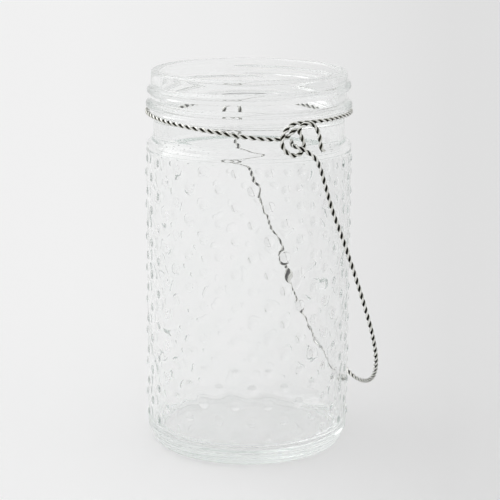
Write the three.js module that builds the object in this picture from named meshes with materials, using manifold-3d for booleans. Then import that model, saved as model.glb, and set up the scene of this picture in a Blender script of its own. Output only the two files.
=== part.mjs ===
// Mason jar lantern: a pressed glass jar, a collar of twisted wire under the bead of its neck, and a bail
// of the same wire hooked into the collar's two eyes.
// Millimetres, +Z up, origin at the centre of the flat base.
import * as THREE from "three";
import { mergeVertices } from "three/addons/utils/BufferGeometryUtils.js";
import Module from "manifold-3d";

// Jar
const HEIGHT = 178;
const BODY_R = 47.9; // straight body, without its hobnails
const HEEL_R = 46; // foot, a little narrower than the body
const HEEL_ROUND = 3.2;
const HEEL_TOP = 4.6;
const RIDGE_Z = 7.3; // where the body turns in to the foot
const WALL = 3.1;
const FLOOR = 6;
const NECK_R = 44.6; // groove between the shoulder and the bead
const NECK_INNER_R = 41.4;
const BEAD_R = 48.05;
const BEAD_LOW = 160.6;
const BEAD_TOP = 163.6;
const FINISH_R = 45.6; // plain glass that the thread stands on
const SHOULDER_LOW = 142.6;
const SHOULDER_TOP = 147.6;
const SIDES = 72;

// Screw thread, a rounded rib that runs out into the glass at both ends
const THREAD_RIB_R = 1.9;
const THREAD_LEAD = 5;
const THREAD_MID_Z = 169.6; // at the front
const THREAD_HALF_TURN = 200; // degrees either side of the front
const THREAD_RUNOUT = 22;

// Twisted wire: two strands, drawn here as the round rod that holds them
const WIRE_R = 1.1;
const WIRE_SIDES = 8;
const COLLAR_R = 47.3;
const COLLAR_Z = 158.9;
const EYE_R = 50.6; // centre line of both eyes, clear of the bead and the body
const EYE_LOW = 145.3;

// Bail: the hinge runs through both eyes
const HINGE_Z = 149.7;
const FRONT_EYE = 23.3; // degrees round from the front, towards +X
const REAR_EYE = 190.5;
const HOOK_OUT = 3.3; // from the eye's centre line out to the leg
const HOOK_IN = 4.1; // and in to the upturned tip
const TIP = 2.3;

// The bail's arch at rest: a flat outline, leaning out from a level line that passes the jar's axis.
const ARCH_TURN = 20.7; // degrees of that line round from the front
const ARCH_OFFSET = 8.9; // from the jar's axis, towards +X
const ARCH_Z = 150.3;
const ARCH_DROP = 70.3; // degrees below level
const ARCH = [
  // along the line from its middle, and down the arch
  [53.8, 31],
  [55.2, 48],
  [55.6, 64],
  [55, 80],
  [52.8, 96],
  [46.5, 111],
  [35.5, 123],
  [22, 130.3],
  [6.5, 133],
  [-9, 129.3],
  [-23, 121.5],
  [-32.5, 110],
  [-36.7, 94],
  [-38.5, 78],
  [-41, 62],
  [-44.2, 46.5],
  [-47.6, 31],
];

const wasm = await Module();
wasm.setup();

const rad = THREE.MathUtils.degToRad;
// A point at an angle round from the front, a height and a radius.
const at = (angle, z, r) => new THREE.Vector3(r * Math.sin(rad(angle)), -r * Math.cos(rad(angle)), z);

function manifold(geometry) {
  geometry.deleteAttribute("normal");
  geometry.deleteAttribute("uv");
  const merged = mergeVertices(geometry, 1e-4);
  return new wasm.Manifold(
    new wasm.Mesh({
      numProp: 3,
      vertProperties: merged.attributes.position.array,
      triVerts: new Uint32Array(merged.index.array),
    }),
  );
}

function fromManifold(solid) {
  const mesh = solid.getMesh();
  return new THREE.BufferGeometry()
    .setAttribute("position", new THREE.BufferAttribute(mesh.vertProperties, 3))
    .setIndex(new THREE.BufferAttribute(mesh.triVerts, 1));
}

function circle(r, sides) {
  const shape = new THREE.Shape();
  for (let i = 0; i < sides; i++) {
    const a = (2 * Math.PI * (i + 0.5)) / sides;
    if (i) shape.lineTo(r * Math.cos(a), r * Math.sin(a));
    else shape.moveTo(r * Math.cos(a), r * Math.sin(a));
  }
  shape.closePath();
  return shape;
}

function rod(points, r, sides, step) {
  const path = new THREE.CatmullRomCurve3(points, false, "centripetal");
  path.arcLengthDivisions = 2000;
  const steps = Math.round(path.getLength() / step);
  return new THREE.ExtrudeGeometry(circle(r, sides), { steps, extrudePath: path, bevelEnabled: false });
}

// Rounded corner of a lathe profile, from one angle to another about its centre.
function corner(points, r, z, radius, from, to, steps) {
  for (let i = 0; i <= steps; i++) {
    const a = rad(from + ((to - from) * i) / steps);
    points.push(new THREE.Vector2(r + radius * Math.cos(a), z + radius * Math.sin(a)));
  }
}

function jarGeometry() {
  const p = [new THREE.Vector2(0, 0)];
  corner(p, HEEL_R - HEEL_ROUND, HEEL_ROUND, HEEL_ROUND, -90, 0, 4);
  p.push(new THREE.Vector2(HEEL_R, HEEL_TOP), new THREE.Vector2(HEEL_R + 0.5, HEEL_TOP + 1));
  corner(p, BODY_R - 1.2, RIDGE_Z, 1.2, -60, 0, 2);
  corner(p, BODY_R - 3, SHOULDER_LOW, 3, 0, 50, 3);
  corner(p, NECK_R + 3.4, SHOULDER_TOP + 0.6, 3.4, 230, 180, 3);
  p.push(new THREE.Vector2(NECK_R, BEAD_LOW - 0.6));
  corner(p, BEAD_R - 1, BEAD_LOW + 1, 1, -75, 0, 2);
  corner(p, BEAD_R - 1.3, BEAD_TOP - 1.3, 1.3, 0, 70, 2);
  p.push(new THREE.Vector2(FINISH_R, BEAD_TOP + 0.5));
  corner(p, FINISH_R - 1.5, HEIGHT - 1.5, 1.5, 0, 90, 3);
  corner(p, NECK_INNER_R + 1.3, HEIGHT - 1.3, 1.3, 90, 180, 3);
  p.push(new THREE.Vector2(NECK_INNER_R, SHOULDER_TOP + 1));
  const inner = BODY_R - WALL;
  corner(p, inner - 5, SHOULDER_LOW - 3, 5, 45, 0, 3);
  corner(p, inner - 7, FLOOR + 7, 7, 0, -90, 4);
  p.push(new THREE.Vector2(0, FLOOR));
  const jar = new THREE.LatheGeometry(p, SIDES);
  jar.rotateX(Math.PI / 2);

  const helix = [];
  for (let a = -THREAD_HALF_TURN; a <= THREAD_HALF_TURN; a += 10) {
    const toEnd = THREAD_HALF_TURN - Math.abs(a);
    const sink = THREAD_RIB_R * Math.max(0, 1 - toEnd / THREAD_RUNOUT);
    helix.push(at(a, THREAD_MID_Z + (THREAD_LEAD * a) / 360, FINISH_R - sink));
  }
  const thread = rod(helix, THREAD_RIB_R, 10, 4.2);
  return fromManifold(manifold(jar).add(manifold(thread)));
}

// One eye of the collar: the wire comes in under the bead, drops round a long loop and goes out over itself.
// Each row is degrees round from the eye's centre, height and radius.
function eye(centre, loop) {
  return loop.map(([angle, z, r]) => at(centre + angle, z, r));
}

function collarGeometry() {
  const points = [
    // left end, tucked behind the eye's rising wire; it follows the top of the front eye inside the loop
    at(26.05, 156.5, 48.4),
    at(23.65, 156.0, 49.0),
    at(21.8, 154.9, 49.3),
    at(20.8, 153.9, 48.8),
    // it passes behind the loop's left side; the wire sags here because its closure pulls it down
    at(18.3, 153.0, 47.6),
    at(15.9, 152.3, 46.8),
    at(8, 152.6, 46.7),
    at(-3, 153.6, 46.9),
    at(-16, 155.0, COLLAR_R - 0.2),
    at(-32, 156.3, COLLAR_R),
    at(-52, 157.5, COLLAR_R),
    at(-76, 158.4, COLLAR_R),
  ];
  for (let a = -100; a >= -150; a -= 25) points.push(at(a, COLLAR_Z, COLLAR_R));
  points.push(
    ...eye(REAR_EYE - 360, [
      [5.5, COLLAR_Z, COLLAR_R + 0.2],
      [-0.5, COLLAR_Z - 0.5, COLLAR_R + 0.6],
      [-4.2, COLLAR_Z - 3, COLLAR_R + 1.6],
      [-5.3, COLLAR_Z - 6.5, EYE_R - 0.6],
      [-4.9, EYE_LOW + 4.2, EYE_R],
      [-2.9, EYE_LOW + 1.1, EYE_R],
      [0, EYE_LOW, EYE_R],
      [3.1, EYE_LOW + 1.4, EYE_R],
      [4.9, EYE_LOW + 5, EYE_R],
      [4.4, EYE_LOW + 9.2, EYE_R + 0.1],
      [1.6, EYE_LOW + 12.6, EYE_R + 0.1],
      [-2.6, COLLAR_Z + 0.2, EYE_R],
      [-7.5, COLLAR_Z + 0.3, EYE_R - 0.7],
      [-13, COLLAR_Z + 0.1, EYE_R - 2],
      [-20, COLLAR_Z, COLLAR_R + 0.2],
    ]),
  );
  for (let a = -208; a >= -308; a -= 25) points.push(at(a, COLLAR_Z, COLLAR_R));
  points.push(
    ...eye(FRONT_EYE - 360, [
      [13.5, COLLAR_Z + 0.1, COLLAR_R + 0.1],
      [5.5, COLLAR_Z + 0.2, COLLAR_R + 0.5],
      [0.2, COLLAR_Z - 0.1, COLLAR_R + 1],
      [-4.2, COLLAR_Z - 2.6, EYE_R - 1.4],
      [-6.3, COLLAR_Z - 6.2, EYE_R - 0.5],
      [-6.1, EYE_LOW + 3.9, EYE_R],
      [-3.3, EYE_LOW + 1.2, EYE_R],
      [0.6, EYE_LOW, EYE_R + 0.1],
      [4.1, EYE_LOW + 1.4, EYE_R + 0.2],
      [5.1, EYE_LOW + 4.7, EYE_R + 0.4],
      [3.6, EYE_LOW + 8.2, EYE_R + 0.5],
      [2.4, EYE_LOW + 11, EYE_R + 0.4],
      [4.3, COLLAR_Z - 0.5, EYE_R + 0.2],
      [8.3, COLLAR_Z + 0.1, EYE_R - 0.2],
      [12.3, COLLAR_Z - 1.5, EYE_R - 0.5],
      [15, COLLAR_Z - 4.9, EYE_R - 0.7],
      [16.3, COLLAR_Z - 9, EYE_R - 0.8],
      [17.4, COLLAR_Z - 13.2, EYE_R - 0.8],
    ]),
  );
  return rod(points, WIRE_R, WIRE_SIDES, 2.1);
}

function bailGeometry() {
  const up = new THREE.Vector3(0, 0, 1);
  const front = at(FRONT_EYE, HINGE_Z, EYE_R);
  const rear = at(REAR_EYE, HINGE_Z, EYE_R);
  const hinge = front.clone().sub(rear).normalize();
  const lineDir = at(ARCH_TURN, 0, 1);
  const out = new THREE.Vector3().crossVectors(up, lineDir);
  const down = out
    .clone()
    .multiplyScalar(Math.cos(rad(ARCH_DROP)))
    .addScaledVector(up, -Math.sin(rad(ARCH_DROP)));
  const middle = out.clone().multiplyScalar(ARCH_OFFSET).addScaledVector(up, ARCH_Z);
  const arch = ([along, drop]) => middle.clone().addScaledVector(lineDir, along).addScaledVector(down, drop);
  // From the upturned tip inside the eye, through it, and round into the leg.
  const hook = (eyeCentre, side) =>
    [
      [-HOOK_IN, TIP],
      [-HOOK_IN + 0.25, 0.9],
      [-HOOK_IN + 1.3, 0],
      [0, 0],
      [HOOK_OUT - 1.3, 0],
    ].map(([along, rise]) =>
      eyeCentre
        .clone()
        .addScaledVector(hinge, side * along)
        .addScaledVector(up, rise),
    );
  const points = [
    ...hook(front, 1),
    at(24.6, HINGE_Z - 0.7, 54.2),
    at(28, HINGE_Z - 2.4, 54.5),
    at(31.7, HINGE_Z - 5, 54.5),
    at(34.8, HINGE_Z - 8.8, 54.4),
    ...ARCH.map(arch),
    at(182.6, HINGE_Z - 15, 52.9),
    at(186.6, HINGE_Z - 7, 54),
    at(189.4, HINGE_Z - 2, 54.3),
    ...hook(rear, -1).reverse(),
  ];
  return rod(points, WIRE_R, WIRE_SIDES, 1.9);
}

const glass = new THREE.MeshStandardMaterial({
  color: 0xe6efec,
  roughness: 0.05,
  transparent: true,
  opacity: 0.35,
});
const steel = () => new THREE.MeshStandardMaterial({ color: 0x8b8b86, roughness: 0.25, metalness: 1 });

const group = new THREE.Group();
group.name = "mason_jar_lantern";
function add(name, geometry, material) {
  const mesh = new THREE.Mesh(geometry, material);
  mesh.name = name;
  group.add(mesh);
}
add("glass_jar", jarGeometry(), glass);
add("neck_wire", collarGeometry(), steel());
add("bail_wire", bailGeometry(), steel());

export default group;
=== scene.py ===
"""Mason jar lantern: the looks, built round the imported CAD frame. Metres, the same frame as the CAD."""
import math

import bpy
import numpy as np
from mathutils import Matrix, Vector

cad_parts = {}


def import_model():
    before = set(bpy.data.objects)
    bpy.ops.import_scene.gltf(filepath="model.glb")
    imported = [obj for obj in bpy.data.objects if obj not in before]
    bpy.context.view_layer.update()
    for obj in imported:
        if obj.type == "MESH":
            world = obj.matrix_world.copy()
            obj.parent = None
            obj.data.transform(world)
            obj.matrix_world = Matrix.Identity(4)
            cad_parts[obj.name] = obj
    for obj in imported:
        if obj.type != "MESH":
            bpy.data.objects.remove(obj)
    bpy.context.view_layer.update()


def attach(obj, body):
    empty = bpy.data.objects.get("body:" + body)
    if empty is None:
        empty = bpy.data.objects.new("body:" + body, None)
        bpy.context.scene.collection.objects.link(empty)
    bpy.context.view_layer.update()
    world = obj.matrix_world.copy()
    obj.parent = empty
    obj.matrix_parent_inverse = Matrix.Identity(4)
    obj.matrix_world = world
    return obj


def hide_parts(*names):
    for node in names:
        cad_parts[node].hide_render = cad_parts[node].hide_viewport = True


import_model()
MM = 0.001

# ---------------------------------------------------------------- camera
FOCAL = 3.258  # in frame widths, like the shift
CAMERA_AT, CAMERA_SHIFT = (0, -0.7533, 0.2695), (0.0037, 0.0077)
PITCH_DOWN = 13.42  # degrees
ROLL = 0.0058  # radians
BOUNCES, GLOSSY_BOUNCES = 80, 60  # light trapped in the glass wall turns black if it is cut short


def camera():
    data = bpy.data.cameras.new("camera")
    data.lens = FOCAL * data.sensor_width
    data.shift_x, data.shift_y = CAMERA_SHIFT
    obj = bpy.data.objects.new("camera", data)
    obj.matrix_world = (
        Matrix.Translation(CAMERA_AT)
        @ Matrix.Rotation(math.radians(90 - PITCH_DOWN), 4, "X")
        @ Matrix.Rotation(ROLL, 4, "Z")
    )
    scene = bpy.context.scene
    scene.collection.objects.link(obj)
    scene.camera = obj
    scene.view_settings.view_transform = "Standard"
    scene.cycles.max_bounces = scene.cycles.transmission_bounces = BOUNCES
    scene.cycles.glossy_bounces = GLOSSY_BOUNCES


camera()


# ---------------------------------------------------------------- mesh helpers
def piece(name, verts, faces, body, replaces, material, crest=None):
    """A smooth-shaded mesh object that rides a body and stands in for a CAD node."""
    mesh = bpy.data.meshes.new(name)
    mesh.from_pydata([tuple(v) for v in verts], [], faces)
    mesh.update()
    if crest:
        mesh.attributes.new("crest", "FLOAT", "POINT").data.foreach_set("value", crest)
    mesh.polygons.foreach_set("use_smooth", [True] * len(mesh.polygons))
    obj = bpy.data.objects.new(name, mesh)
    bpy.context.scene.collection.objects.link(obj)
    mesh.materials.append(material)
    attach(obj, body)
    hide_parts(replaces)
    return obj


def at(angle, z, r):
    """A point at an angle round from the front towards +X, a height and a radius, in mm."""
    a = math.radians(angle)
    return np.array([r * math.sin(a), -r * math.cos(a), z])


# ---------------------------------------------------------------- materials
def nodes_of(name):
    """A new material, its empty node tree and the tree's output node."""
    material = bpy.data.materials.new(name)
    material.use_nodes = True
    tree = material.node_tree
    tree.nodes.clear()
    out = tree.nodes.new("ShaderNodeOutputMaterial")
    return material, tree, out


def ramp(tree, source, stops):
    """A colour ramp of (position, grey or colour) stops, driven by a socket."""
    node = tree.nodes.new("ShaderNodeValToRGB")
    while len(node.color_ramp.elements) < len(stops):
        node.color_ramp.elements.new(0.5)
    for element, (position, colour) in zip(node.color_ramp.elements, stops):
        element.position = position
        element.color = (*colour, 1) if isinstance(colour, tuple) else (colour, colour, colour, 1)
    tree.links.new(source, node.inputs["Fac"])
    return node.outputs["Color"]


def noise_of(tree, scale, detail):
    """Procedural noise in the object's own coordinates."""
    coords, noise = tree.nodes.new("ShaderNodeTexCoord"), tree.nodes.new("ShaderNodeTexNoise")
    noise.inputs["Scale"].default_value, noise.inputs["Detail"].default_value = scale, detail
    tree.links.new(coords.outputs["Object"], noise.inputs["Vector"])
    return noise.outputs["Fac"]


def multiply(tree, a, b):
    """One colour socket times another."""
    node = tree.nodes.new("ShaderNodeMix")
    node.data_type, node.blend_type = "RGBA", "MULTIPLY"
    node.inputs["Factor"].default_value = 1
    tree.links.new(a, node.inputs["A"])
    tree.links.new(b, node.inputs["B"])
    return node.outputs["Result"]


GLASS_COLOUR, GLASS_DENSITY = (0.62, 0.72, 0.68, 1), 2.8  # the light that gets through; strength per metre
UNEVEN_DEPTH, UNEVEN_STRENGTH, UNEVEN_SCALE = 0.0006, 0.02, 70
STREAK_TINT = (0.99, 0.996, 0.993)


def glass_material():
    """Clear pressed glass with a faint grey-green body, faint streaks and the mould's slight unevenness."""
    material, tree, out = nodes_of("pressed_glass")
    new, link = tree.nodes.new, tree.links.new
    shader = new("ShaderNodeBsdfPrincipled")
    shader.inputs["Transmission Weight"].default_value = 1
    shader.inputs["IOR"].default_value = 1.5
    shader.inputs["Roughness"].default_value = 0.0
    noise = noise_of(tree, UNEVEN_SCALE, 2)
    bump = new("ShaderNodeBump")
    bump.inputs["Strength"].default_value = UNEVEN_STRENGTH
    bump.inputs["Distance"].default_value = UNEVEN_DEPTH
    link(noise, bump.inputs["Height"])
    link(bump.outputs["Normal"], shader.inputs["Normal"])
    link(ramp(tree, noise, [(0.35, STREAK_TINT), (0.65, 1.0)]), shader.inputs["Base Color"])
    link(shader.outputs["BSDF"], out.inputs["Surface"])
    depth = new("ShaderNodeVolumeAbsorption")
    depth.inputs["Color"].default_value = GLASS_COLOUR
    depth.inputs["Density"].default_value = GLASS_DENSITY
    link(depth.outputs["Volume"], out.inputs["Volume"])
    return material


SHADE_OLIVE = (1.0, 1.0, 0.72)  # olive tint of the painted shade in the groove
STEEL_DULL, STEEL_BRIGHT, STEEL_SCALE = (0.68, 0.68, 0.63), (0.95, 0.95, 0.93), 420
ROUGH_LEAST, ROUGH_MOST = 0.14, 0.3
COLLAR_SEAM_SHADE, BAIL_SEAM_SHADE = 0.07, 0.015  # how dark the painted shade in the groove between the strands is
FLANK_SHADE = 0.08  # how much lighter the painted shade is just outside the groove


def wire_material(name, dark):
    """Bright drawn steel, with painted shade where the two strands meet."""
    material, tree, out = nodes_of(name)
    new, link = tree.nodes.new, tree.links.new
    shader = new("ShaderNodeBsdfPrincipled")
    shader.inputs["Metallic"].default_value = 1
    crest = new("ShaderNodeAttribute")
    crest.attribute_name = "crest"
    # Painted shade: each strand is darkened on the side that faces the other strand, fading out towards its
    # crest.
    seam_shade, flank_shade = (tuple(level * c for c in SHADE_OLIVE) for level in (dark, dark + FLANK_SHADE))
    groove_shade = ramp(tree, crest.outputs["Fac"], [(0.0, seam_shade), (0.14, flank_shade), (0.34, 0.7), (0.55, 1.0)])
    noise = noise_of(tree, STEEL_SCALE, 4)
    tint = ramp(tree, noise, [(0.3, STEEL_DULL), (0.7, STEEL_BRIGHT)])
    link(multiply(tree, groove_shade, tint), shader.inputs["Base Color"])
    rough = new("ShaderNodeMapRange")
    rough.inputs["To Min"].default_value, rough.inputs["To Max"].default_value = ROUGH_LEAST, ROUGH_MOST
    link(noise, rough.inputs["Value"])
    link(rough.outputs["Result"], shader.inputs["Roughness"])
    link(shader.outputs["BSDF"], out.inputs["Surface"])
    return material


GLASS = glass_material()
COLLAR_STEEL, BAIL_STEEL = wire_material("collar_wire", COLLAR_SEAM_SHADE), wire_material("bail_wire", BAIL_SEAM_SHADE)

# ---------------------------------------------------------------- jar
# Millimetres, as in the CAD.
HEIGHT, BODY_R, WALL, FLOOR = 178, 47.9, 3.1, 6
HEEL_R, HEEL_ROUND, HEEL_TOP, RIDGE_Z = 46, 3.2, 4.6, 7.3
NECK_R, NECK_INNER_R, BEAD_R, BEAD_LOW, BEAD_TOP = 44.6, 41.4, 48.05, 160.6, 163.6
FINISH_R, SHOULDER_LOW, SHOULDER_TOP = 45.6, 142.6, 147.6
RIDGE_ROUND, SHOULDER_ROUND, NECK_ROUND, BEAD_LOW_ROUND, BEAD_TOP_ROUND = 1.2, 3, 3.4, 1, 1.3
LIP_ROUND, LIP_INNER_ROUND, SHOULDER_INNER_ROUND, PLUNGER_ROUND = 1.8, 1.5, 5, 7
THREAD_RIB_R, THREAD_LEAD, THREAD_MID_Z, THREAD_HALF_TURN = 1.9, 5, 169.6, 200
THREAD_SPREAD, THREAD_CROWN, THREAD_RUNOUT = 1.12, 0.7, 24

DOTS_ROUND, DOT_ROWS = 20, 17
DOT_PHASE = -6.6  # degrees round from the front of a dot in the top row
DOT_TOP_Z, DOT_PITCH = 137.4, 7.69
DOT_R, DOT_HEIGHT = 2.3, 0.62
DOT_RINGS = (0.25, 0.48, 0.68, 0.82, 0.91, 0.98, 1.06, 1.15)  # in dot radii
DOME_END, FILLET_END = 0.9, 1.15  # in dot radii
CELL = 180 / DOTS_ROUND  # degrees; the dots fill every other cell, like a chequerboard
SPLIT = 4  # edge pieces along a cell's side
WAVE = 0.24  # depth of the waves on the inside of the wall


class Surface:
    """Faces on vertices shared by position, so that patches made one by one join up."""

    def __init__(self):
        self.verts, self.index, self.faces = [], {}, []

    def vert(self, angle, z, r):
        p = at(angle, z, r)
        key = tuple(np.round(p, 3))
        if key not in self.index:
            self.index[key] = len(self.verts)
            self.verts.append(p * MM)
        return self.index[key]

    def face(self, *ids):
        ids = [v for i, v in enumerate(ids) if v != ids[i - 1]]
        if len(ids) > 2:
            self.faces.append(ids)


def corner(points, r, z, radius, start, stop, steps):
    """Adds an arc about (r, z) to a profile, between two angles in degrees."""
    for i in range(steps + 1):
        a = math.radians(start + (stop - start) * i / steps)
        points.append((r + radius * math.cos(a), z + radius * math.sin(a)))


def ripple(angle, z):
    """Smooth uneven waves, about -1 to 1, that close on themselves round the jar."""
    a = math.radians(angle)
    return (
        0.45 * math.sin(9 * a + 0.11 * z + 1.3)
        + 0.35 * math.sin(14 * a - 0.23 * z + 0.4)
        + 0.3 * math.sin(4 * a + 0.37 * z + 2.2)
        + 0.25 * math.sin(21 * a + 0.3 * z)
        + 0.25 * math.sin(17 * a + 0.6 * z + 0.8)
    )


def dot_profile(q):
    """A raised dot's height at q dot radii from its centre: a shallow dome with a small fillet."""
    ball = (DOT_R**2 + DOT_HEIGHT**2) / (2 * DOT_HEIGHT)
    dome = lambda t: math.sqrt(ball**2 - (t * DOT_R) ** 2) - (ball - DOT_HEIGHT)
    if q < DOME_END:
        return dome(q)
    return dome(DOME_END) * max(0.0, (FILLET_END - q) / (FILLET_END - DOME_END)) ** 2


def thread_height(angle, z):
    """How far the screw thread stands out of the finish there."""
    best = 0.0
    for turn in (-360, 0, 360):
        a = angle + turn
        if abs(a) > THREAD_HALF_TURN:
            continue
        t = (z - THREAD_MID_Z - THREAD_LEAD * a / 360) / (THREAD_RIB_R * THREAD_SPREAD)
        end = min(1, (THREAD_HALF_TURN - abs(a)) / THREAD_RUNOUT)
        if abs(t) < 1:
            best = max(best, THREAD_RIB_R * end * (1 - t * t) ** THREAD_CROWN)
    return best


def jar():
    """The whole jar as one closed surface, from the middle of its foot round to the inside floor."""
    s = Surface()
    around = 2 * DOTS_ROUND * SPLIT
    angles = [DOT_PHASE + CELL * (i / SPLIT - 0.5) for i in range(around)]

    def band(profile):
        """Quads round the jar between successive (r, z) points; r may be a function of the angle."""
        radius = lambda r, a, z: r(a, z) if callable(r) else r
        for (r0, z0), (r1, z1) in zip(profile, profile[1:]):
            for i, a0 in enumerate(angles):
                a1 = angles[(i + 1) % around]
                s.face(
                    s.vert(a0, z0, radius(r0, a0, z0)),
                    s.vert(a1, z0, radius(r0, a1, z0)),
                    s.vert(a1, z1, radius(r1, a1, z1)),
                    s.vert(a0, z1, radius(r1, a0, z1)),
                )

    cells_low = DOT_TOP_Z - DOT_PITCH * (DOT_ROWS - 0.5)
    cells_top = DOT_TOP_Z + DOT_PITCH / 2

    foot = [(0, 0), (HEEL_R * 0.5, 0)]
    corner(foot, HEEL_R - HEEL_ROUND, HEEL_ROUND, HEEL_ROUND, -90, 0, 10)
    foot += [(HEEL_R, HEEL_TOP), (HEEL_R + 0.5, HEEL_TOP + 1)]
    corner(foot, BODY_R - RIDGE_ROUND, RIDGE_Z, RIDGE_ROUND, -60, 0, 5)
    foot.append((BODY_R, cells_low))
    band(foot)

    # Body: one patch for each cell of the chequerboard, a raised dot in every other one.
    steps = [2 * k / SPLIT - 1 for k in range(SPLIT)]
    edge = [(t, -1) for t in steps] + [(1, t) for t in steps]  # the patch's border, from -1 to 1
    edge += [(-t, 1) for t in steps] + [(-1, -t) for t in steps]
    n = len(edge)
    deg_per_mm = 180 / (math.pi * BODY_R)
    for row in range(DOT_ROWS):
        zc = DOT_TOP_Z - DOT_PITCH * row
        for col in range(2 * DOTS_ROUND):
            ac = DOT_PHASE + CELL * col
            if (row + col) % 2:
                grid = [
                    [s.vert(ac + CELL * (i / SPLIT - 0.5), zc + DOT_PITCH * (j / SPLIT - 0.5), BODY_R)
                     for i in range(SPLIT + 1)]
                    for j in range(SPLIT + 1)
                ]
                for j in range(SPLIT):
                    for i in range(SPLIT):
                        s.face(grid[j][i], grid[j][i + 1], grid[j + 1][i + 1], grid[j + 1][i])
                continue
            border = [s.vert(ac + u * CELL / 2, zc + v * DOT_PITCH / 2, BODY_R) for u, v in edge]
            loops = []
            for q in DOT_RINGS:
                loop = []
                for u, v in edge:
                    x, y = u * CELL / 2 / deg_per_mm, v * DOT_PITCH / 2
                    d = math.hypot(x, y)
                    x, y = x / d * q * DOT_R, y / d * q * DOT_R
                    loop.append(s.vert(ac + x * deg_per_mm, zc + y, BODY_R + dot_profile(q)))
                loops.append(loop)
            loops.append(border)
            top = s.vert(ac, zc, BODY_R + DOT_HEIGHT)
            for i in range(n):
                s.face(top, loops[0][i], loops[0][(i + 1) % n])
                for a, b in zip(loops, loops[1:]):
                    s.face(a[i], b[i], b[(i + 1) % n], a[(i + 1) % n])

    neck = [(BODY_R, cells_top)]
    corner(neck, BODY_R - SHOULDER_ROUND, SHOULDER_LOW, SHOULDER_ROUND, 0, 50, 7)
    corner(neck, NECK_R + NECK_ROUND, SHOULDER_TOP + 0.6, NECK_ROUND, 230, 180, 7)
    neck += [(NECK_R, 154), (NECK_R, BEAD_LOW - 0.6)]
    corner(neck, BEAD_R - BEAD_LOW_ROUND, BEAD_LOW + BEAD_LOW_ROUND, BEAD_LOW_ROUND, -75, 0, 5)
    corner(neck, BEAD_R - BEAD_TOP_ROUND, BEAD_TOP - BEAD_TOP_ROUND, BEAD_TOP_ROUND, 0, 70, 5)
    neck.append((FINISH_R, BEAD_TOP + 0.5))
    band(neck)

    # Finish: plain glass with the thread raised out of it.
    low, high, rows = BEAD_TOP + 0.5, HEIGHT - 3, 34
    zs = [low + (high - low) * k / rows for k in range(rows + 1)]

    def finish_r(a, z):
        wrapped = (a + 180) % 360 - 180
        return FINISH_R + (thread_height(wrapped, z) if low < z < high else 0)

    band([(finish_r, z) for z in zs])

    lip = [(FINISH_R, high)]
    corner(lip, FINISH_R - LIP_ROUND, HEIGHT - LIP_ROUND, LIP_ROUND, 0, 90, 8)
    corner(lip, NECK_INNER_R + LIP_INNER_ROUND, HEIGHT - LIP_INNER_ROUND, LIP_INNER_ROUND, 90, 180, 8)
    lip.append((NECK_INNER_R, SHOULDER_TOP + 1))
    inner = BODY_R - WALL
    wall_top, wall_low, rows = SHOULDER_LOW - 3, FLOOR + PLUNGER_ROUND, 54
    corner(lip, inner - SHOULDER_INNER_ROUND, wall_top, SHOULDER_INNER_ROUND, 45, 0, 6)
    for k in range(1, rows + 1):
        lip.append((inner, wall_top - (wall_top - wall_low) * k / rows))
    corner(lip, inner - PLUNGER_ROUND, wall_low, PLUNGER_ROUND, 0, -90, 10)
    lip += [(inner * 0.4, FLOOR), (0, FLOOR)]

    def pressed(radius):
        # The plunger leaves the inside faintly wavy, most of all on the straight wall.
        def r(a, z):
            if radius != inner:
                return radius
            fade = math.sin(math.pi * min(1, max(0, (z - wall_low) / (wall_top - wall_low)))) ** 0.5
            return inner + WAVE * fade * ripple(a, z)
        return r

    apart = [lip[0]]  # without points that repeat where two stretches meet
    for p in lip[1:]:
        if math.hypot(p[0] - apart[-1][0], p[1] - apart[-1][1]) > 0.01:
            apart.append(p)
    band([(pressed(r), z) for r, z in apart])
    return s


surface = jar()
jar_obj = piece("hobnail_jar", surface.verts, surface.faces, "jar", "glass_jar", GLASS)
jar_obj.visible_shadow = False  # clear glass, lit from all round, hardly shades the floor


# ---------------------------------------------------------------- twisted wire
STRAND_R, STRAND_SIDES, TWIST_PITCH, STEP = 0.55, 10, 7.6, 0.45
# One strand's cut end on the collar's tail turns out by this much, over this run.
SPLAY, SPLAY_RUN, NO_SPLAY = (1.7, -0.2, 0.5), 1.8, (0, 0, 0)
COLLAR_R, COLLAR_Z, EYE_R, EYE_LOW = 47.3, 158.9, 50.6, 145.3
HINGE_Z, FRONT_EYE, REAR_EYE = 149.7, 23.3, 190.5
HOOK_OUT, HOOK_IN, TIP = 3.3, 4.1, 2.3
ARCH_TURN, ARCH_OFFSET, ARCH_Z, ARCH_DROP = 20.7, 8.9, 150.3, 70.3
ARCH = [
    (53.8, 31), (55.2, 48), (55.6, 64), (55, 80), (52.8, 96), (46.5, 111), (35.5, 123), (22, 130.3),
    (6.5, 133), (-9, 129.3), (-23, 121.5), (-32.5, 110), (-36.7, 94), (-38.5, 78), (-41, 62),
    (-44.2, 46.5), (-47.6, 31),
]


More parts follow.
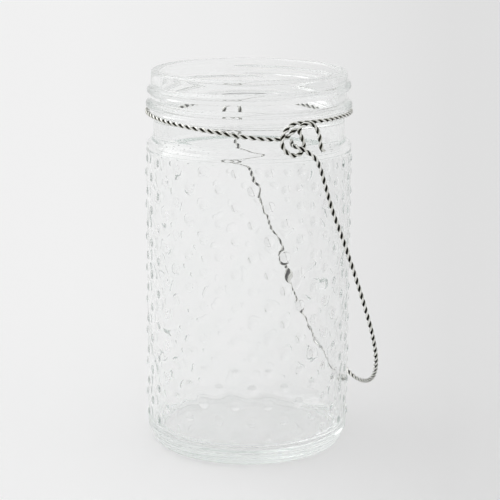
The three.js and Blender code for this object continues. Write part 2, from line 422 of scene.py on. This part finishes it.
def collar_points():
    """From the left end inside the front eye, round the neck by way of the rear eye, to the tail."""
    points = [
        at(26.05, 156.5, 48.4), at(23.65, 156.0, 49.0), at(21.8, 154.9, 49.3), at(20.8, 153.9, 48.8),
        at(18.3, 153.0, 47.6), at(15.9, 152.3, 46.8), at(8, 152.6, 46.7), at(-3, 153.6, 46.9),
        at(-16, 155.0, COLLAR_R - 0.2), at(-32, 156.3, COLLAR_R), at(-52, 157.5, COLLAR_R),
        at(-76, 158.4, COLLAR_R),
    ]
    points += [at(a, COLLAR_Z, COLLAR_R) for a in (-100, -125, -150)]
    eye = lambda centre, loop: [at(centre - 360 + a, z, r) for a, z, r in loop]
    points += eye(REAR_EYE, [
        (5.5, COLLAR_Z, COLLAR_R + 0.2), (-0.5, COLLAR_Z - 0.5, COLLAR_R + 0.6),
        (-4.2, COLLAR_Z - 3, COLLAR_R + 1.6), (-5.3, COLLAR_Z - 6.5, EYE_R - 0.6),
        (-4.9, EYE_LOW + 4.2, EYE_R), (-2.9, EYE_LOW + 1.1, EYE_R), (0, EYE_LOW, EYE_R),
        (3.1, EYE_LOW + 1.4, EYE_R), (4.9, EYE_LOW + 5, EYE_R), (4.4, EYE_LOW + 9.2, EYE_R + 0.1),
        (1.6, EYE_LOW + 12.6, EYE_R + 0.1), (-2.6, COLLAR_Z + 0.2, EYE_R),
        (-7.5, COLLAR_Z + 0.3, EYE_R - 0.7), (-13, COLLAR_Z + 0.1, EYE_R - 2),
        (-20, COLLAR_Z, COLLAR_R + 0.2),
    ])
    points += [at(a, COLLAR_Z, COLLAR_R) for a in (-208, -233, -258, -283, -308)]
    points += eye(FRONT_EYE, [
        (13.5, COLLAR_Z + 0.1, COLLAR_R + 0.1), (5.5, COLLAR_Z + 0.2, COLLAR_R + 0.5),
        (0.2, COLLAR_Z - 0.1, COLLAR_R + 1), (-4.2, COLLAR_Z - 2.6, EYE_R - 1.4),
        (-6.3, COLLAR_Z - 6.2, EYE_R - 0.5), (-6.1, EYE_LOW + 3.9, EYE_R), (-3.3, EYE_LOW + 1.2, EYE_R),
        (0.6, EYE_LOW, EYE_R + 0.1), (4.1, EYE_LOW + 1.4, EYE_R + 0.2), (5.1, EYE_LOW + 4.7, EYE_R + 0.4),
        (3.6, EYE_LOW + 8.2, EYE_R + 0.5), (2.4, EYE_LOW + 11, EYE_R + 0.4),
        (4.3, COLLAR_Z - 0.5, EYE_R + 0.2), (8.3, COLLAR_Z + 0.1, EYE_R - 0.2),
        (12.3, COLLAR_Z - 1.5, EYE_R - 0.5), (15, COLLAR_Z - 4.9, EYE_R - 0.7),
        (16.3, COLLAR_Z - 9, EYE_R - 0.8), (17.4, COLLAR_Z - 13.2, EYE_R - 0.8),
    ])
    return np.array(points)


def bail_points():
    """From the front hook's tip, over the arch, to the rear hook's tip."""
    up = np.array([0, 0, 1.0])
    front, rear = at(FRONT_EYE, HINGE_Z, EYE_R), at(REAR_EYE, HINGE_Z, EYE_R)
    hinge = (front - rear) / np.linalg.norm(front - rear)
    line = at(ARCH_TURN, 0, 1)
    out = np.cross(up, line)
    down = out * math.cos(math.radians(ARCH_DROP)) - up * math.sin(math.radians(ARCH_DROP))
    bends = ((-HOOK_IN, TIP), (-HOOK_IN + 0.25, 0.9), (-HOOK_IN + 1.3, 0), (0, 0), (HOOK_OUT - 1.3, 0))
    hook = lambda centre, side: [centre + hinge * side * along + up * rise for along, rise in bends]
    points = hook(front, 1)
    points += [at(24.6, HINGE_Z - 0.7, 54.2), at(28, HINGE_Z - 2.4, 54.5), at(31.7, HINGE_Z - 5, 54.5),
               at(34.8, HINGE_Z - 8.8, 54.4)]
    points += [out * ARCH_OFFSET + up * ARCH_Z + line * along + down * drop for along, drop in ARCH]
    points += [at(182.6, HINGE_Z - 15, 52.9), at(186.6, HINGE_Z - 7, 54), at(189.4, HINGE_Z - 2, 54.3)]
    points += hook(rear, -1)[::-1]
    return np.array(points)


def smooth_path(points, step):
    """Even samples of the centripetal Catmull-Rom curve through the points."""
    ends = np.vstack([2 * points[0] - points[1], points, 2 * points[-1] - points[-2]])
    dense = []
    for p0, p1, p2, p3 in zip(ends, ends[1:], ends[2:], ends[3:]):
        d0, d1, d2 = (max(np.linalg.norm(b - a) ** 0.5, 1e-4) for a, b in ((p0, p1), (p1, p2), (p2, p3)))
        m1 = ((p1 - p0) / d0 - (p2 - p0) / (d0 + d1) + (p2 - p1) / d1) * d1
        m2 = ((p2 - p1) / d1 - (p3 - p1) / (d1 + d2) + (p3 - p2) / d2) * d1
        t = np.linspace(0, 1, 60, endpoint=False)[:, None]
        dense.append(p1 + m1 * t + (3 * (p2 - p1) - 2 * m1 - m2) * t**2 + (2 * (p1 - p2) + m1 + m2) * t**3)
    dense = np.vstack([*dense, points[-1:]])
    run = np.concatenate([[0], np.cumsum(np.linalg.norm(np.diff(dense, axis=0), axis=1))])
    s = np.linspace(0, run[-1], int(round(run[-1] / step)) + 1)
    return np.stack([np.interp(s, run, dense[:, k]) for k in range(3)], 1), s


def unit(v):
    return v / np.linalg.norm(v, axis=-1, keepdims=True)


def strand(path, s, phase, splay):
    """One of the two strands: a round rod wound right-handed about the path, whose end can splay out."""
    tangent = unit(np.gradient(path, axis=0))
    normal = np.zeros_like(path)
    first = np.cross(tangent[0], (0.3, 0.2, 1.0))
    normal[0] = first / np.linalg.norm(first)
    for i in range(1, len(path)):
        n = normal[i - 1] - tangent[i] * np.dot(normal[i - 1], tangent[i])
        normal[i] = n / np.linalg.norm(n)
    binormal = np.cross(tangent, normal)
    turn = 2 * math.pi * s[:, None] / TWIST_PITCH + phase
    radial = np.cos(turn) * normal + np.sin(turn) * binormal
    at_end = np.clip((s[:, None] - s[-1]) / SPLAY_RUN + 1, 0, 1) ** 2
    centre = path + STRAND_R * radial + at_end * np.array(splay)
    along = unit(np.gradient(centre, axis=0))
    radial = unit(radial - along * np.sum(radial * along, axis=1, keepdims=True))
    side = np.cross(along, radial)
    verts, faces, crest, rings = [], [], [], []
    cap = 0.3 * STRAND_R
    stations = [(0, -cap, 0.6), (0, -cap * 0.55, 0.9)] + [(i, 0, 1) for i in range(len(path))]
    stations += [(len(path) - 1, cap * 0.55, 0.9), (len(path) - 1, cap, 0.6)]
    for i, ahead, size in stations:
        ring = []
        for k in range(STRAND_SIDES):
            a = 2 * math.pi * k / STRAND_SIDES
            ring.append(len(verts))
            across = STRAND_R * size * (math.cos(a) * radial[i] + math.sin(a) * side[i])
            verts.append((centre[i] + along[i] * ahead + across) * MM)
            crest.append(math.cos(a))
        rings.append(ring)
    for a, b in zip(rings, rings[1:]):
        for k in range(STRAND_SIDES):
            after = (k + 1) % STRAND_SIDES
            faces.append((a[k], a[after], b[after], b[k]))
    faces.append(tuple(rings[0][::-1]))
    faces.append(tuple(rings[-1]))
    return verts, faces, crest


for node, body, steel, points, splay in (
    ("neck_wire", "collar", COLLAR_STEEL, collar_points(), SPLAY),
    ("bail_wire", "bail", BAIL_STEEL, bail_points(), NO_SPLAY),
):
    path, s = smooth_path(points, STEP)
    for letter, phase, end in (("a", 0.0, splay), ("b", math.pi, NO_SPLAY)):
        verts, faces, crest = strand(path, s, phase, end)
        piece(f"{node}_strand_{letter}", verts, faces, body, node, steel, crest)


# ---------------------------------------------------------------- studio
FLOOR_HALF, FLOOR_DROP = 8, 0.0003
FAN_Y, FAN = 0.82, 0.15  # how far in front of the jar the tones fan out from, and how wide per metre
NEAREST = 0.4  # closer to that point than this the fan stops narrowing
FLOOR_PAINTED_FALLOFF = [(0.15, 0.96), (0.5, 0.925), (0.9, 0.81)]  # painted shade, from left to right, as if lit from the left


def floor():
    """A pale floor just under the jar, with painted shade that darkens it gently towards the right of the
    view.
    """
    h = FLOOR_HALF
    mesh = bpy.data.meshes.new("floor")
    mesh.from_pydata([(-h, -h, 0), (h, -h, 0), (h, h, 0), (-h, h, 0)], [], [(0, 1, 2, 3)])
    obj = bpy.data.objects.new("floor", mesh)
    bpy.context.scene.collection.objects.link(obj)
    material, tree, out = nodes_of("pale_floor")
    new, link = tree.nodes.new, tree.links.new

    def maths(operation, a, b):
        node = new("ShaderNodeMath")
        node.operation = operation
        link(a, node.inputs[0])
        if isinstance(b, float):
            node.inputs[1].default_value = b
        else:
            link(b, node.inputs[1])
        return node.outputs["Value"]

    shader = new("ShaderNodeBsdfDiffuse")
    coords, split = new("ShaderNodeTexCoord"), new("ShaderNodeSeparateXYZ")
    link(coords.outputs["Object"], split.inputs["Vector"])
    # Fanned out, the painted shade stays soft all the way back.
    depth = maths("MAXIMUM", maths("ADD", split.outputs["Y"], FAN_Y), NEAREST)
    across = new("ShaderNodeMapRange")
    across.inputs["From Min"].default_value, across.inputs["From Max"].default_value = -FAN, FAN
    link(maths("DIVIDE", split.outputs["X"], depth), across.inputs["Value"])
    # Painted shade: the floor's colour darkens to the right, standing in for the falloff of a light from
    # the left.
    link(ramp(tree, across.outputs["Result"], FLOOR_PAINTED_FALLOFF), shader.inputs["Color"])
    link(shader.outputs["BSDF"], out.inputs["Surface"])
    mesh.materials.append(material)
    obj.location.z = -FLOOR_DROP


ROOM = [(0.0, 0.72), (0.2, 0.78), (0.42, 0.83), (1.0, 0.83)]  # tones from -Y, behind the camera, to +Y
PANEL = (-0.68, 0.2, 0.74)  # towards the soft light
PANEL_EDGE = [(0.84, 0.0), (0.9, 1.0)]  # where it fades in, as the cosine of the angle off that direction
PANEL_LIGHT = 1.4  # what it lights the scene with
PANEL_GLINT = 2.0  # what it shows as in reflections


def world():
    """A white room with a soft bright panel to the upper left, a little darker behind the camera."""
    w = bpy.data.worlds.new("studio")
    bpy.context.scene.world = w
    w.use_nodes = True
    tree = w.node_tree
    tree.nodes.clear()
    new, link = tree.nodes.new, tree.links.new
    out, shade = new("ShaderNodeOutputWorld"), new("ShaderNodeBackground")
    coords, split = new("ShaderNodeTexCoord"), new("ShaderNodeSeparateXYZ")
    link(coords.outputs["Generated"], split.inputs["Vector"])
    span = new("ShaderNodeMapRange")
    span.inputs["From Min"].default_value, span.inputs["From Max"].default_value = -1, 1
    link(split.outputs["Y"], span.inputs["Value"])
    room = ramp(tree, span.outputs["Result"], ROOM)
    rays, glint = new("ShaderNodeLightPath"), new("ShaderNodeMapRange")
    glint.inputs["To Min"].default_value, glint.inputs["To Max"].default_value = PANEL_LIGHT, PANEL_GLINT
    link(rays.outputs["Is Glossy Ray"], glint.inputs["Value"])
    aim = new("ShaderNodeVectorMath")
    aim.operation = "DOT_PRODUCT"
    aim.inputs[1].default_value = Vector(PANEL).normalized()
    link(coords.outputs["Generated"], aim.inputs[0])
    edge = ramp(tree, aim.outputs["Value"], PANEL_EDGE)
    pick = new("ShaderNodeMix")
    pick.data_type = "RGBA"
    link(edge, pick.inputs["Factor"])
    link(room, pick.inputs["A"])
    link(glint.outputs["Result"], pick.inputs["B"])
    link(pick.outputs["Result"], shade.inputs["Color"])
    link(shade.outputs["Background"], out.inputs["Surface"])


floor()
world()

bpy.context.view_layer.update()
